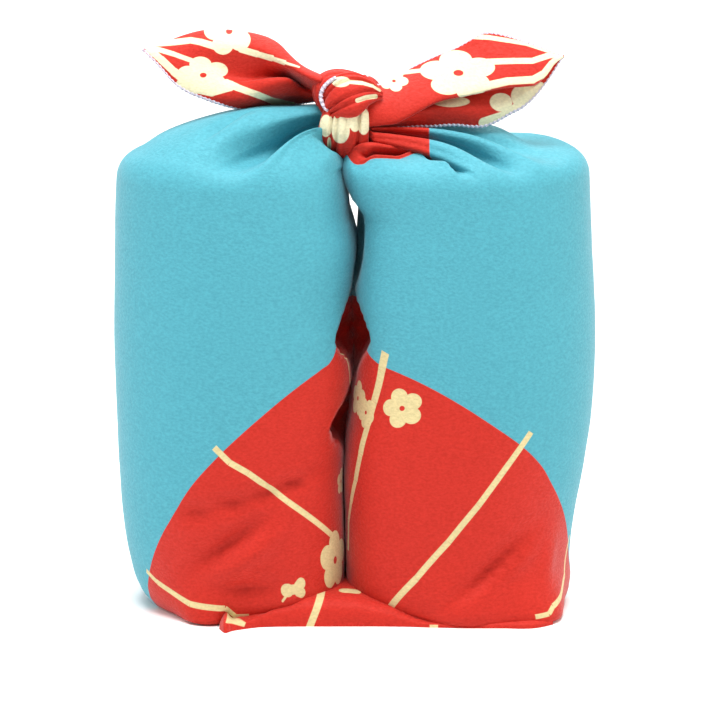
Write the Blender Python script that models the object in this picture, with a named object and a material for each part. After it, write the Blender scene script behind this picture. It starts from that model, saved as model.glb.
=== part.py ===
"""A furoshiki tied round two upright goods: one square of crepe cloth, as one filled solid.

Two soft lobes stand side by side on a flattened fold of the same cloth. Each lobe's top is gathered
to a neck, the necks meet in a reef knot, and the cloth's last two corners leave the knot as tails.
Metres, +Z up, the front faces -Y. The lobes lie left and right of the plane x = 0.
"""

import math
from collections import namedtuple

import bmesh
import bpy
from mathutils import Vector

MM = 0.001

# Driving dimensions, in millimetres
LOBE_RIM_HEIGHT = 189.0
INNER_RIM_DROP = 6.0  # how much lower the rim is beside the cleft
RIM_ROUND = 13.0  # how far the rim's rounding reaches down the side and over the top
TAIL_THICKNESS = 2.6
FRONT_REACH = 60.0  # from the lobes' axes to the tip of the front pleat
BACK_REACH = 50.0
LOBE_BELOW = 3.0  # what reaches under the floor before the base is cut flat
SLAB_BELOW = 2.0
AROUND = 48  # points round a lobe
TOP_STEPS = 13  # rings from a lobe's rim to its neck

# The lobe's plain rings. outer and inner are measured from the plane x = 0, and inner is negative
# where the two lobes press into each other. depth is half the front-to-back size.
Ring = namedtuple("Ring", "height outer inner depth")
LOBE_RINGS = (
    Ring(height=0.0, outer=80.0, inner=6.0, depth=38.0),
    Ring(height=3.0, outer=84.5, inner=3.0, depth=42.0),
    Ring(height=9.0, outer=88.5, inner=0.6, depth=44.5),
    Ring(height=20.0, outer=92.0, inner=-0.6, depth=46.2),
    Ring(height=40.0, outer=95.8, inner=-0.6, depth=47.8),
    Ring(height=72.0, outer=98.8, inner=-0.6, depth=49.2),
    Ring(height=110.0, outer=101.0, inner=-0.6, depth=50.0),
    Ring(height=150.0, outer=100.4, inner=-0.4, depth=50.0),
    Ring(height=168.0, outer=99.6, inner=1.4, depth=49.4),
)
RIM = Ring(height=LOBE_RIM_HEIGHT, outer=98.6, inner=1.6, depth=48.4)

# Where a lobe's gathered top becomes one strand. away is the distance from x = 0.
Neck = namedtuple("Neck", "away forward height half_depth half_height")
LEFT_NECK = Neck(away=12.0, forward=7.0, height=199.0, half_depth=13.0, half_height=11.0)
RIGHT_NECK = Neck(away=15.0, forward=8.0, height=195.5, half_depth=14.0, half_height=9.5)

# Pleats of a gathered top. Angles go round the lobe: 0 is the cleft, -90 the front, 180 the outer
# side. A pleat starts at the rim angle and runs to the neck angle. A negative rise is a trough.
Pleat = namedtuple("Pleat", "rim_angle neck_angle width rise start")
LEFT_PLEATS = (
    Pleat(rim_angle=-42, neck_angle=-72, width=20, rise=3.5, start=0.15),
    Pleat(rim_angle=-78, neck_angle=-108, width=20, rise=-6.5, start=0.25),
    Pleat(rim_angle=-112, neck_angle=-150, width=22, rise=2.5, start=0.2),
    Pleat(rim_angle=-136, neck_angle=-168, width=12, rise=-1.6, start=0.1),
    Pleat(rim_angle=165, neck_angle=165, width=18, rise=1.8, start=0.3),
    Pleat(rim_angle=125, neck_angle=140, width=16, rise=-2.5, start=0.3),
    Pleat(rim_angle=88, neck_angle=100, width=20, rise=2.6, start=0.2),
    Pleat(rim_angle=50, neck_angle=62, width=18, rise=-3.0, start=0.3),
)
RIGHT_PLEATS = (
    Pleat(rim_angle=-34, neck_angle=-30, width=20, rise=4.5, start=0.2),
    Pleat(rim_angle=-70, neck_angle=-62, width=16, rise=-7.0, start=0.3),
    Pleat(rim_angle=-93, neck_angle=-95, width=13, rise=3.0, start=0.2),
    Pleat(rim_angle=-108, neck_angle=-114, width=10, rise=-2.2, start=0.3),
    Pleat(rim_angle=-122, neck_angle=-138, width=14, rise=2.6, start=0.15),
    Pleat(rim_angle=-160, neck_angle=-168, width=14, rise=-2.0, start=0.3),
    Pleat(rim_angle=150, neck_angle=150, width=18, rise=2.4, start=0.2),
    Pleat(rim_angle=110, neck_angle=115, width=16, rise=-3.0, start=0.3),
    Pleat(rim_angle=70, neck_angle=75, width=20, rise=2.4, start=0.2),
)

# Folds that the cloth's weight pushes out at the foot of a lobe, fading upwards over height
Foot = namedtuple("Foot", "angle reach width height")
LEFT_FEET = (Foot(angle=-101.0, reach=7.0, width=8.0, height=22.0),)
RIGHT_FEET = (
    Foot(angle=-127.0, reach=17.0, width=20.0, height=42.0),
    Foot(angle=-92.0, reach=9.0, width=22.0, height=34.0),
)

# The flattened fold under and between the lobes, as sections across x
Slab = namedtuple("Slab", "x front back thickness")
SLAB = (
    Slab(x=-55.5, front=58.0, back=20.0, thickness=1.5),
    Slab(x=-53.0, front=60.0, back=24.0, thickness=6.4),
    Slab(x=-47.0, front=56.0, back=30.0, thickness=6.2),
    Slab(x=-41.0, front=51.5, back=37.0, thickness=5.2),
    Slab(x=-35.0, front=49.6, back=43.0, thickness=5.8),
    Slab(x=-26.0, front=49.5, back=47.0, thickness=7.2),
    Slab(x=0.0, front=50.0, back=48.0, thickness=8.0),
    Slab(x=22.0, front=50.0, back=48.0, thickness=7.4),
    Slab(x=34.0, front=50.0, back=46.0, thickness=4.6),
    Slab(x=60.0, front=51.0, back=42.0, thickness=3.4),
    Slab(x=76.0, front=50.5, back=36.0, thickness=3.2),
    Slab(x=82.0, front=44.0, back=26.0, thickness=2.4),
)

# The bands of the knot. Each row is a point on a band's middle line, with its half sizes across x
# (or across the band where it runs along x) and through its thickness.
Turn = namedtuple("Turn", "x y z breadth thick")
LOWER_BAND = (
    Turn(x=-2.0, y=-12.0, z=214.0, breadth=8.0, thick=4.0),
    Turn(x=-3.0, y=-21.5, z=209.0, breadth=10.2, thick=5.0),
    Turn(x=-3.6, y=-23.0, z=201.0, breadth=10.0, thick=5.0),
    Turn(x=-4.6, y=-20.0, z=193.5, breadth=7.5, thick=4.6),
    Turn(x=-4.2, y=-10.0, z=191.0, breadth=6.0, thick=4.0),
    Turn(x=0.0, y=0.0, z=196.0, breadth=6.0, thick=4.0),
)
UPPER_BAND = (
    Turn(x=-8.5, y=-17.0, z=206.5, breadth=6.0, thick=5.0),
    Turn(x=-12.0, y=-18.0, z=213.0, breadth=8.5, thick=5.2),
    Turn(x=-11.0, y=-15.5, z=219.0, breadth=9.5, thick=5.6),
    Turn(x=-4.0, y=-13.5, z=221.8, breadth=10.0, thick=5.8),
    Turn(x=4.0, y=-13.0, z=219.6, breadth=10.0, thick=6.0),
    Turn(x=10.5, y=-12.0, z=214.5, breadth=9.5, thick=6.5),
    Turn(x=17.0, y=-9.0, z=212.5, breadth=8.0, thick=5.0),
)
INNER_BAND = (
    Turn(x=-11.0, y=-19.0, z=208.5, breadth=4.0, thick=3.5),
    Turn(x=-5.0, y=-22.8, z=213.6, breadth=7.0, thick=5.6),
    Turn(x=2.0, y=-22.6, z=215.2, breadth=7.0, thick=5.8),
    Turn(x=9.0, y=-18.0, z=214.5, breadth=6.0, thick=4.6),
    Turn(x=12.0, y=-10.0, z=212.0, breadth=5.0, thick=4.0),
)
BACK_BAND = (
    Turn(x=-1.0, y=-4.0, z=221.0, breadth=8.0, thick=4.0),
    Turn(x=2.0, y=5.0, z=217.5, breadth=9.5, thick=5.0),
    Turn(x=3.0, y=9.0, z=208.0, breadth=10.0, thick=5.0),
    Turn(x=3.0, y=6.5, z=198.5, breadth=9.0, thick=5.0),
    Turn(x=0.0, y=-2.0, z=193.5, breadth=7.0, thick=4.0),
)

# The tails. Each row is one section at x: the upper hem (or the rear one), the fold nearest the
# front, the valley behind that fold, and the lower hem, each as a place in depth and height.
Leaf = namedtuple("Leaf", "x upper_y upper_z fold_y fold_z valley_y valley_z lower_y lower_z")
RIGHT_TAIL = (
    Leaf(9.0, -2.0, 218.0, -14.0, 213.0, -9.0, 210.0, -8.0, 207.0),
    Leaf(17.0, 3.0, 221.5, -15.5, 208.5, -8.0, 210.0, -8.0, 205.0),
    Leaf(27.0, 5.0, 227.4, -17.0, 209.6, -8.0, 211.5, -9.0, 204.0),
    Leaf(40.0, 5.0, 232.6, -15.0, 214.4, -6.5, 214.5, -9.5, 203.0),
    Leaf(50.0, 5.0, 238.2, -13.0, 217.6, -5.5, 216.0, -9.0, 203.0),
    Leaf(60.0, 4.5, 239.4, -11.0, 220.4, -4.5, 217.5, -8.0, 205.6),
    Leaf(69.0, 4.0, 237.6, -8.5, 221.8, -3.5, 219.5, -6.0, 210.4),
    Leaf(77.0, 3.5, 234.4, -5.0, 225.4, -2.0, 224.0, -4.0, 218.4),
    Leaf(82.0, 2.5, 232.6, -2.0, 228.6, -0.5, 228.0, -2.0, 225.6),
    Leaf(85.4, 1.0, 231.8, 0.0, 231.2, 0.3, 231.0, 0.0, 230.6),
)
LEFT_TAIL = (
    Leaf(-9.0, 0.0, 214.0, -2.0, 219.5, -7.0, 215.5, -9.0, 210.5),
    Leaf(-16.0, 4.0, 212.0, -1.0, 222.5, -4.0, 215.5, -9.0, 211.0),
    Leaf(-24.0, 8.0, 216.0, 0.0, 227.8, -5.0, 217.5, -9.0, 211.2),
    Leaf(-33.0, 10.0, 220.0, 0.0, 235.4, -6.5, 221.5, -9.0, 211.0),
    Leaf(-43.5, 10.5, 224.0, 0.0, 240.2, -7.5, 225.5, -8.5, 210.8),
    Leaf(-54.0, 10.0, 227.0, 0.0, 241.8, -7.5, 227.0, -8.0, 211.6),
    Leaf(-63.0, 8.5, 229.5, 0.0, 241.4, -7.0, 228.0, -7.0, 214.4),
    Leaf(-73.0, 6.0, 231.5, 0.0, 239.4, -5.0, 230.0, -5.0, 221.6),
    Leaf(-80.0, 3.5, 233.0, 0.0, 236.8, -2.5, 232.5, -3.0, 228.4),
    Leaf(-86.0, 1.0, 234.2, 0.0, 234.8, -0.6, 234.4, -1.0, 234.0),
)

KNOT_CORE = Turn(x=-1.5, y=-8.0, z=209.0, breadth=12.0, thick=14.0)
KNOT_CORE_HEIGHT = 14.5
FLOOR_WIDTH, FLOOR_CUT = 300.0, 20.0
CLOTH_COLOUR = (0.13, 0.52, 0.66, 1.0)
CLOTH_ROUGHNESS = 0.75


def clear_scene():
    for thing in list(bpy.data.objects):
        bpy.data.objects.remove(thing, do_unlink=True)


def smooth(t):
    """0 to 1 with level ends."""
    t = min(max(t, 0.0), 1.0)
    return t * t * (3.0 - 2.0 * t)


def between(rows, height):
    """The lobe ring at a height, worked out from the two rows round it."""
    for low, high in zip(rows, rows[1:]):
        if height <= high.height:
            share = (height - low.height) / (high.height - low.height)
            return Ring(*(a + (b - a) * share for a, b in zip(low, high)))
    return rows[-1]


def catmull(points, t):
    """A point on the smooth curve through points, where t goes from 0 to 1."""
    place = t * (len(points) - 1)
    i = min(int(place), len(points) - 2)
    f = place - i
    a = points[max(i - 1, 0)]
    b = points[i]
    c = points[i + 1]
    d = points[min(i + 2, len(points) - 1)]
    return [
        0.5 * (2 * q + (r - p) * f + (2 * p - 5 * q + 4 * r - s) * f**2 + (3 * q - p - 3 * r + s) * f**3)
        for p, q, r, s in zip(a, b, c, d)
    ]


def solid_from_rings(name, rings):
    """A closed mesh object through rings of equal length, with a flat cap on the first and last."""
    bm = bmesh.new()
    loops = [[bm.verts.new(Vector(p) * MM) for p in ring] for ring in rings]
    for low, high in zip(loops, loops[1:]):
        for i, corner in enumerate(low):
            j = (i + 1) % len(low)
            bm.faces.new((corner, low[j], high[j], high[i]))
    bm.faces.new(loops[0][::-1])
    bm.faces.new(loops[-1])
    bmesh.ops.triangulate(bm, faces=[f for f in bm.faces if len(f.verts) > 4])
    bmesh.ops.recalc_face_normals(bm, faces=bm.faces)
    mesh = bpy.data.meshes.new(name)
    bm.to_mesh(mesh)
    bm.free()
    thing = bpy.data.objects.new(name, mesh)
    bpy.context.scene.collection.objects.link(thing)
    return thing


def ring_point(ring, angle, side, feet):
    """A point of a lobe's plain ring. side is -1 for the left lobe and 1 for the right one."""
    half = (ring.outer - ring.inner) / 2
    middle = (ring.outer + ring.inner) / 2
    reach = 0.0
    for foot in feet:
        fade = max(0.0, 1.0 - ring.height / foot.height)
        turn = (angle - foot.angle) / foot.width
        reach += foot.reach * fade * fade * math.exp(-turn * turn)
    a = math.radians(angle)
    toward = math.cos(a) * (half + reach)
    return Vector((side * (middle - toward), math.sin(a) * (ring.depth + reach), ring.height))


def top_point(angle, t, side, neck, feet):
    """The gathered top without its pleats: up the side, round the rim and straight to the neck."""
    a = math.radians(angle)
    near_cleft = ((1.0 + math.cos(a)) / 2) ** 3
    start = ring_point(LOBE_RINGS[-1], angle, side, feet)
    corner = ring_point(RIM, angle, side, feet)
    corner.z -= INNER_RIM_DROP * near_cleft
    end = Vector((
        side * neck.away,
        -neck.forward + neck.half_depth * math.sin(a),
        neck.height - neck.half_height * math.cos(a),
    ))
    up = corner - start
    over = end - corner
    round_up = min(RIM_ROUND, 0.9 * up.length)
    round_over = min(RIM_ROUND, 0.6 * over.length)
    first = corner - up.normalized() * round_up
    last = corner + over.normalized() * round_over
    if t < 0.08:
        return start.lerp(first, t / 0.08)
    if t < 0.38:
        f = (t - 0.08) / 0.30
        return first.lerp(corner, f).lerp(corner.lerp(last, f), f)
    return last.lerp(end, (t - 0.38) / 0.62)


def pleated_point(angle, t, side, neck, feet, pleats):
    """The gathered top, moved along its own normal by every pleat that reaches this place."""
    here = top_point(angle, t, side, neck, feet)
    small_turn, small_step = 2.0, 0.02
    round_it = top_point(angle + small_turn, t, side, neck, feet) - here
    near = top_point(angle, max(t - small_step, 0.0), side, neck, feet)
    far = top_point(angle, min(t + small_step, 1.0), side, neck, feet)
    normal = (far - near).cross(round_it)
    if normal.length < 1e-9:
        return here
    normal = normal.normalized() * side
    rise = 0.0
    for pleat in pleats:
        middle = pleat.rim_angle + (pleat.neck_angle - pleat.rim_angle) * t
        turn = ((angle - middle + 180.0) % 360.0 - 180.0) / pleat.width
        rise += pleat.rise * smooth((t - pleat.start) / (0.9 - pleat.start)) * math.exp(-turn * turn)
    return here + normal * rise


def make_lobe(name, side, neck, pleats, feet):
    """One lobe from its flat base to the end of its strand, inside the knot."""
    angles = [360.0 * i / AROUND - 180.0 for i in range(AROUND)]
    rings = [[ring_point(row, a, side, feet) for a in angles] for row in LOBE_RINGS[:-1]]
    rings.insert(0, [p - Vector((0, 0, LOBE_BELOW)) for p in rings[0]])
    for step in range(TOP_STEPS + 1):
        t = step / TOP_STEPS
        rings.append([pleated_point(a, t, side, neck, feet, pleats) for a in angles])
    heart = Vector((side * 3.0, -neck.forward, neck.height + 5.0))
    rings.append([heart + (p - Vector((side * neck.away, -neck.forward, neck.height))) * 0.55 for p in rings[-1]])
    return solid_from_rings(name, rings)


def make_slab(name):
    """The flattened fold that joins the lobes' feet: a rounded bar section, drawn out along x."""
    around = 16
    rings = []
    for row in SLAB:
        half = (row.front + row.back) / 2
        middle = (row.back - row.front) / 2
        ring = []
        for i in range(around):
            a = 2 * math.pi * i / around
            wide = math.copysign(abs(math.cos(a)) ** 0.35, math.cos(a))
            high = math.sin(a) ** 0.7 * row.thickness if i <= around / 2 else -SLAB_BELOW
            ring.append(Vector((row.x, middle + half * wide, high)))
        rings.append(ring)
    return solid_from_rings(name, rings)


def make_band(name, rows, steps=16, around=12):
    """A band of the knot: an oval section, carried along the curve through its rows."""
    rings = []
    for step in range(steps + 1):
        t = step / steps
        here = catmull(rows, t)
        ahead = catmull(rows, min(t + 0.01, 1.0))
        behind = catmull(rows, max(t - 0.01, 0.0))
        along = (Vector(ahead[:3]) - Vector(behind[:3])).normalized()
        outward = Vector(here[:3]) - Vector((KNOT_CORE.x, KNOT_CORE.y, KNOT_CORE.z))
        outward = (outward - along * outward.dot(along)).normalized()
        across = along.cross(outward)
        ring = []
        for i in range(around):
            a = 2 * math.pi * i / around
            ring.append(
                Vector(here[:3]) + across * (here[3] * math.cos(a)) + outward * (here[4] * math.sin(a))
            )
        rings.append(ring)
    return solid_from_rings(name, rings)


def make_core(name, steps=8, around=16):
    """The bulk inside the knot, an egg that every band touches."""
    rings = []
    for step in range(1, steps):
        a = math.pi * step / steps
        ring = []
        for i in range(around):
            b = 2 * math.pi * i / around
            ring.append(Vector((
                KNOT_CORE.x + KNOT_CORE.breadth * math.sin(a) * math.cos(b),
                KNOT_CORE.y + KNOT_CORE.thick * math.sin(a) * math.sin(b),
                KNOT_CORE.z - KNOT_CORE_HEIGHT * math.cos(a),
            )))
        rings.append(ring)
    return solid_from_rings(name, rings)


def make_tail(name, rows, steps=15, across=9):
    """A tail: the cloth's corner, folded lengthwise, as a sheet of even thickness."""
    bm = bmesh.new()
    grid = []
    for step in range(steps + 1):
        row = Leaf(*catmull(rows, step / steps))
        corners = (
            (row.upper_y, row.upper_z),
            (row.fold_y, row.fold_z),
            (row.valley_y, row.valley_z),
            (row.lower_y, row.lower_z),
        )
        line = []
        for i in range(across + 1):
            y, z = catmull(corners, i / across)
            line.append(bm.verts.new(Vector((row.x, y, z)) * MM))
        grid.append(line)
    for low, high in zip(grid, grid[1:]):
        for i in range(across):
            bm.faces.new((low[i], low[i + 1], high[i + 1], high[i]))
    mesh = bpy.data.meshes.new(name)
    bm.to_mesh(mesh)
    bm.free()
    thing = bpy.data.objects.new(name, mesh)
    bpy.context.scene.collection.objects.link(thing)
    solidify = thing.modifiers.new("thickness", "SOLIDIFY")
    solidify.thickness = TAIL_THICKNESS * MM
    solidify.offset = 0.0
    return thing


def join_on(body, thing):
    """Adds a Boolean union of thing to body, and keeps thing out of the model itself."""
    union = body.modifiers.new(thing.name, "BOOLEAN")
    union.operation = "UNION"
    union.solver = "MANIFOLD"  # the exact solver leaves open edges on this union
    union.object = thing
    thing.hide_render = True
    thing.display_type = "WIRE"


def cut_base(body):
    """Cuts body level at z = 0, so that it stands on one flat face."""
    bpy.ops.mesh.primitive_cube_add(size=1.0, location=(0.0, 0.0, -FLOOR_CUT / 2 * MM))
    cutter = bpy.context.object
    cutter.name = "floor_cutter"
    cutter.scale = (FLOOR_WIDTH * MM, FLOOR_WIDTH * MM, FLOOR_CUT * MM)
    cutter.hide_render = True
    cutter.display_type = "WIRE"
    cut = body.modifiers.new("flat_base", "BOOLEAN")
    cut.operation = "DIFFERENCE"
    cut.solver = "MANIFOLD"
    cut.object = cutter


def cloth_material():
    material = bpy.data.materials.new("crepe_cloth")
    material.use_nodes = True
    shader = material.node_tree.nodes["Principled BSDF"]
    shader.inputs["Base Color"].default_value = CLOTH_COLOUR
    shader.inputs["Roughness"].default_value = CLOTH_ROUGHNESS
    shader.inputs["Metallic"].default_value = 0.0
    return material


def main():
    clear_scene()
    cloth = make_lobe("furoshiki_cloth", -1, LEFT_NECK, LEFT_PLEATS, LEFT_FEET)
    parts = [
        make_lobe("right_lobe", 1, RIGHT_NECK, RIGHT_PLEATS, RIGHT_FEET),
        make_slab("under_fold"),
        make_core("knot_core"),
        make_band("lower_band", LOWER_BAND),
        make_band("upper_band", UPPER_BAND),
        make_band("inner_band", INNER_BAND, steps=12),
        make_band("back_band", BACK_BAND),
        make_tail("left_tail", LEFT_TAIL),
        make_tail("right_tail", RIGHT_TAIL),
    ]
    for part in parts:
        join_on(cloth, part)
    shift = (FRONT_REACH - BACK_REACH) / 2 * MM
    for thing in [cloth] + parts:
        thing.location.y = shift
    cut_base(cloth)
    cloth.data.materials.append(cloth_material())
    cloth.data.shade_smooth()


main()
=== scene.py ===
"""A furoshiki tied round two upright goods: the looks of its cloth, print, knot, tails and hems.

Lengths in the tables are millimetres in the wrap's own frame: x to the right, y to the back from
the lobes' axes, z up from the floor. The front faces -Y.
"""

import math
from collections import namedtuple

import bpy
import numpy as np
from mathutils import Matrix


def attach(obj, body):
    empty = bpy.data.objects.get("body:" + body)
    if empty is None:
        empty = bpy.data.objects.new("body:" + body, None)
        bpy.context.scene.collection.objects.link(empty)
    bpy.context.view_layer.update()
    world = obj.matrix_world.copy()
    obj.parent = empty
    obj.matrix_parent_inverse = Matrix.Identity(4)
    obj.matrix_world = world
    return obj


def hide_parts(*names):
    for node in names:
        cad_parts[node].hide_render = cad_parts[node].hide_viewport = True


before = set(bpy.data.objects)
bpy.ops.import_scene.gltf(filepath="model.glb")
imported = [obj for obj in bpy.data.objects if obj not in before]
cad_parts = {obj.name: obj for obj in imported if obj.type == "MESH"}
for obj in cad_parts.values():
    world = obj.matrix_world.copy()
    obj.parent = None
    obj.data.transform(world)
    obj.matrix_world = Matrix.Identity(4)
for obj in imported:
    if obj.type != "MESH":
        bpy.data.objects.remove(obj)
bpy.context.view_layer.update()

# --- The two lobes -----------------------------------------------------------------------------
# One square of polyester crepe is rolled round both goods. On each it makes a taut lobe, drawn in
# at the foot and gathered over the top into pleats that run to the knot.

MM = 0.001
BODY_SHIFT = 5.0  # the lobes' axes lie this far behind the frame's origin
LOBE_AROUND = 265
SIDE_ROWS, TOP_ROWS, INNER_ROWS = 58, 86, 30
SQUARE = 3.2  # how square a lobe's front is towards the cleft; 2 is an ellipse
HOLLOW_SHARE = 1.4  # how far in the cloth turns beside the cleft, as a share of the dark width
HOLLOW_FROM, HOLLOW_OVER = 2, 7  # it starts so many degrees before the dark edge, over so many
HOLLOW_TO, HOLLOW_END = -0.2, 3  # and ends at this angle beside the cleft, over so many degrees
UNROLLED_RADIUS = 50.3  # the print is laid out on a plain cylinder of this radius
RED_TO = 30.6  # the gathered strand on the right is red up to this distance from the middle

# Each row is a height, how deep the lobes are there from the middle to the front, and how far the
# left and then the right lobe reach out to their outer and in to their inner side.
LOBE_RINGS = (
    (0, 37.5, 81.5, 10.9, 83.6, 3.1), (0.8, 40.2, 84.5, 8.9, 86.4, 1.1),
    (3, 42.2, 87.3, 6.9, 88.6, -0.9), (9, 44.6, 91, 4.5, 90.4, -3.3),
    (20, 46.3, 94.2, 3.6, 90.2, -4.2), (40, 47.9, 97.2, 3.8, 92.4, -4.6),
    (56, 48.6, 98.2, 4.2, 95.4, -5), (68, 49, 98.8, 3.7, 97.2, -4.5),
    (76, 49.3, 99, 3, 98.4, -3.8), (82, 49.4, 99.2, 1.9, 99, -2.7),
    (92, 49.6, 99.5, 0.8, 99.7, -1.6), (102, 49.8, 99.8, -0.1, 100.1, -0.7),
    (112, 50, 100, 0, 100.3, -0.8), (124, 50, 99.9, 0.4, 100.1, -1.2),
    (134, 50, 99.7, 0.5, 99.6, -1.3), (143, 50, 99.5, -0.5, 99.1, -0.3),
    (150, 50, 99.4, -1.3, 98.6, 0.5), (156, 49.8, 99.3, -1.4, 98.4, 0.8),
    (162, 49.6, 99.2, -0.2, 98.1, 1), (169, 49.3, 99, 1.9, 97.8, 1.5),
    (174, 49, 98.8, 2.3, 97.6, -1.8),
)
Ring = namedtuple("Ring", "height outer inner depth")
LEFT_RINGS = tuple(Ring(row[0], row[2], row[3], row[1]) for row in LOBE_RINGS)
RIGHT_RINGS = tuple(Ring(row[0], row[4], row[5], row[1]) for row in LOBE_RINGS)


def table(kind, *rows):
    """Rows of plain numbers, each read as one kind of named values."""
    return tuple(kind(*row) for row in rows)


# The cleft is dark where the cloth turns in: how far that reaches to each side at a height
Cleft = namedtuple("Cleft", "height left right")
CLEFT = table(
    Cleft,
    (0, 0.5, 0.6), (56, 0.6, 0.5), (69, 0.7, 0.4), (73, 1.8, 0.4), (77, 4.6, 0.4),
    (81.5, 7, 0.5), (86.5, 5.8, 0.8), (92.5, 2.6, 0.8), (98, 1.1, 1), (104, 1.2, 1.6),
    (110, 2.6, 3.1), (114, 5.2, 4.9), (118, 6.6, 6.6), (125, 4.8, 5.1), (130, 3, 3.2),
    (135, 1.2, 1.2), (145, 0.8, 1.9), (156, 0.4, 2.6), (163, 0.3, 2.6), (169, 0.3, 1.6),
    (174, 0.3, 0.6),
)
# The rim is the corner that the cloth turns over; near the cleft it is drawn up towards the knot.
LEFT_RIM = Ring(height=189.0, outer=98.2, inner=4.0, depth=48.0)
RIGHT_RIM = Ring(height=189.5, outer=97.0, inner=-7.0, depth=48.0)
INNER_RIM_DROP = 4.0
RIM_ROUND = 8.0
ROUND_UP, ROUND_OVER = 0.9, 0.6  # the most of the ways up to it and on from it that are rounded
RIM_FROM, RIM_TO = 0.08, 0.38  # where the rim's curve starts and ends, as shares of a top

# Where each line of cloth that runs up from the rim ends, round the neck. Angles: 0 the cleft, -90
# the front. back and up bow the line's middle. A line on the front ends at a lip, not at the knot.
Gather = namedtuple("Gather", "angle x y z back up")
LEFT_GATHER = table(
    Gather,
    (-180, -12, -4, 211.5, 0, 6), (-155, -12.5, -7, 212, 0, 6),
    (-135, -13.5, -10.5, 210.8, 0, 5), (-118, -14, -12, 208, 1, 3.2),
    (-106, -14.5, -9, 205.4, 3.5, 0.5), (-97, -14.9, -6.5, 202.5, 6.5, -1.8),
    (-90, -15, -10, 200.5, 6, -2), (-84, -15, -16.5, 202, 3, 0),
    (-77, -14.3, -24, 204.8, 0.5, 3), (-69, -16.2, -26, 203, 0.5, 2.4),
    (-62, -17.3, -28, 201, 0, 1.2), (-54, -14.1, -29, 197.2, 0, 0.8),
    (-47, -10.7, -29, 194.8, 0, 0.6), (-40, -8.6, -28, 192.9, 0, 0.6),
    (-33, -5.6, -24, 188.6, 0, 0), (-25, -4.5, -17, 187.5, 0, 0), (0, -4, -6, 188, 0, 0),
    (30, -6, 3, 190, 0, 0), (60, -10, 9, 194, 0, 0), (90, -12, 11, 201, 0, 1),
    (120, -12, 8, 206, 0, 3), (150, -12, 3, 210, 0, 5),
)
RIGHT_GATHER = table(
    Gather,
    (-180, 13, -1, 207, 0, 2.8), (-160, 12, -5, 206, 4, 1.5), (-144, 9, -12, 204, 9, -0.5),
    (-129, 7, -19, 203.6, 8, 3), (-122, 7.2, -18, 202.2, 9, 1.4),
    (-115, 7.4, -13.5, 200.5, 10, -1.5), (-107, 7.5, -20.5, 202.2, 6, 1.8),
    (-101, 7.7, -21.8, 200.2, 4.6, 2), (-97.5, 8, -20.6, 197.4, 4.2, 0.4),
    (-95.5, 9, -14, 194, 7, -0.5), (-93.5, 12, -9, 189.5, 9, -2),
    (-91.5, 17, -12, 189, 4, -2.5), (-89.5, 23, -18.5, 190.5, 0.5, -1.6),
    (-88, 26, -23, 193.6, 0, 0.2), (-84, 24.5, -25, 194.2, 0, 1),
    (-79, 21.8, -26.2, 193.3, 0, 1.2), (-72, 17.7, -27.5, 192.2, 0, 1.2),
    (-65, 12.3, -28.5, 192.6, 0, 1.2), (-57, 6.9, -28.5, 192.4, 0, 1.2),
    (-50, 3.5, -28.5, 190.3, 0, 1), (-43, 0.1, -27, 190, 0, 0.5),
    (-36, -1.9, -23.5, 191.6, 0, 0), (-29, -3.5, -19, 193.5, 0, 0), (-15, -5.5, -12, 192, 0, 0),
    (10, -5, -4, 190, 0, 0), (40, 0, 4, 190, 0, 0), (70, 8, 8, 193, 0, 1),
    (105, 12, 9, 199, 0, 2), (140, 13, 5, 205, 0, 3),
)

# Behind its lip the cloth of the front rolls inwards, and each line goes on through five places.
# On the right they are a hollow's near edge, its floor, its far edge's foot and crest, and behind.
Inner = namedtuple("Inner", "angle x1 y1 z1 x2 y2 z2 x3 y3 z3 x4 y4 z4 x5 y5 z5")
LEFT_INNER = table(
    Inner,
    (-82, -14, -20, 204.5, -12, -16, 204, -9, -12, 204, -6, -10, 205, -4, -9, 206),
    (-76, -12.5, -21.5, 203.5, -10, -17, 202, -8, -13, 202, -6, -10, 203, -4, -9, 205),
    (-69, -13, -22, 201, -10.5, -17, 199, -8, -13, 199, -6, -10, 200, -4, -9, 203),
    (-62, -14.5, -24, 199.6, -10.5, -17.5, 196, -8, -13, 196, -6, -10, 197, -4, -9, 201),
    (-54, -12, -25, 197.4, -9.5, -18, 194, -7, -13, 194, -5, -10, 195, -4, -9, 200),
    (-47, -9.3, -24.5, 195.3, -7.5, -18, 192, -5, -13, 192, -4, -10, 193, -3, -9, 198),
    (-40, -7.2, -23, 194, -5, -17, 190, -4, -12, 190, -3, -9, 191, -2, -8, 197),
    (-33, -4.5, -19, 190.4, -3, -14, 187, -2, -10, 188, -2, -8, 190, -1, -7, 196),
    (-24, -3.5, -13, 187.5, -2, -9, 185, -1, -7, 187, -1, -7, 190, 0, -6, 196),
)
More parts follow.
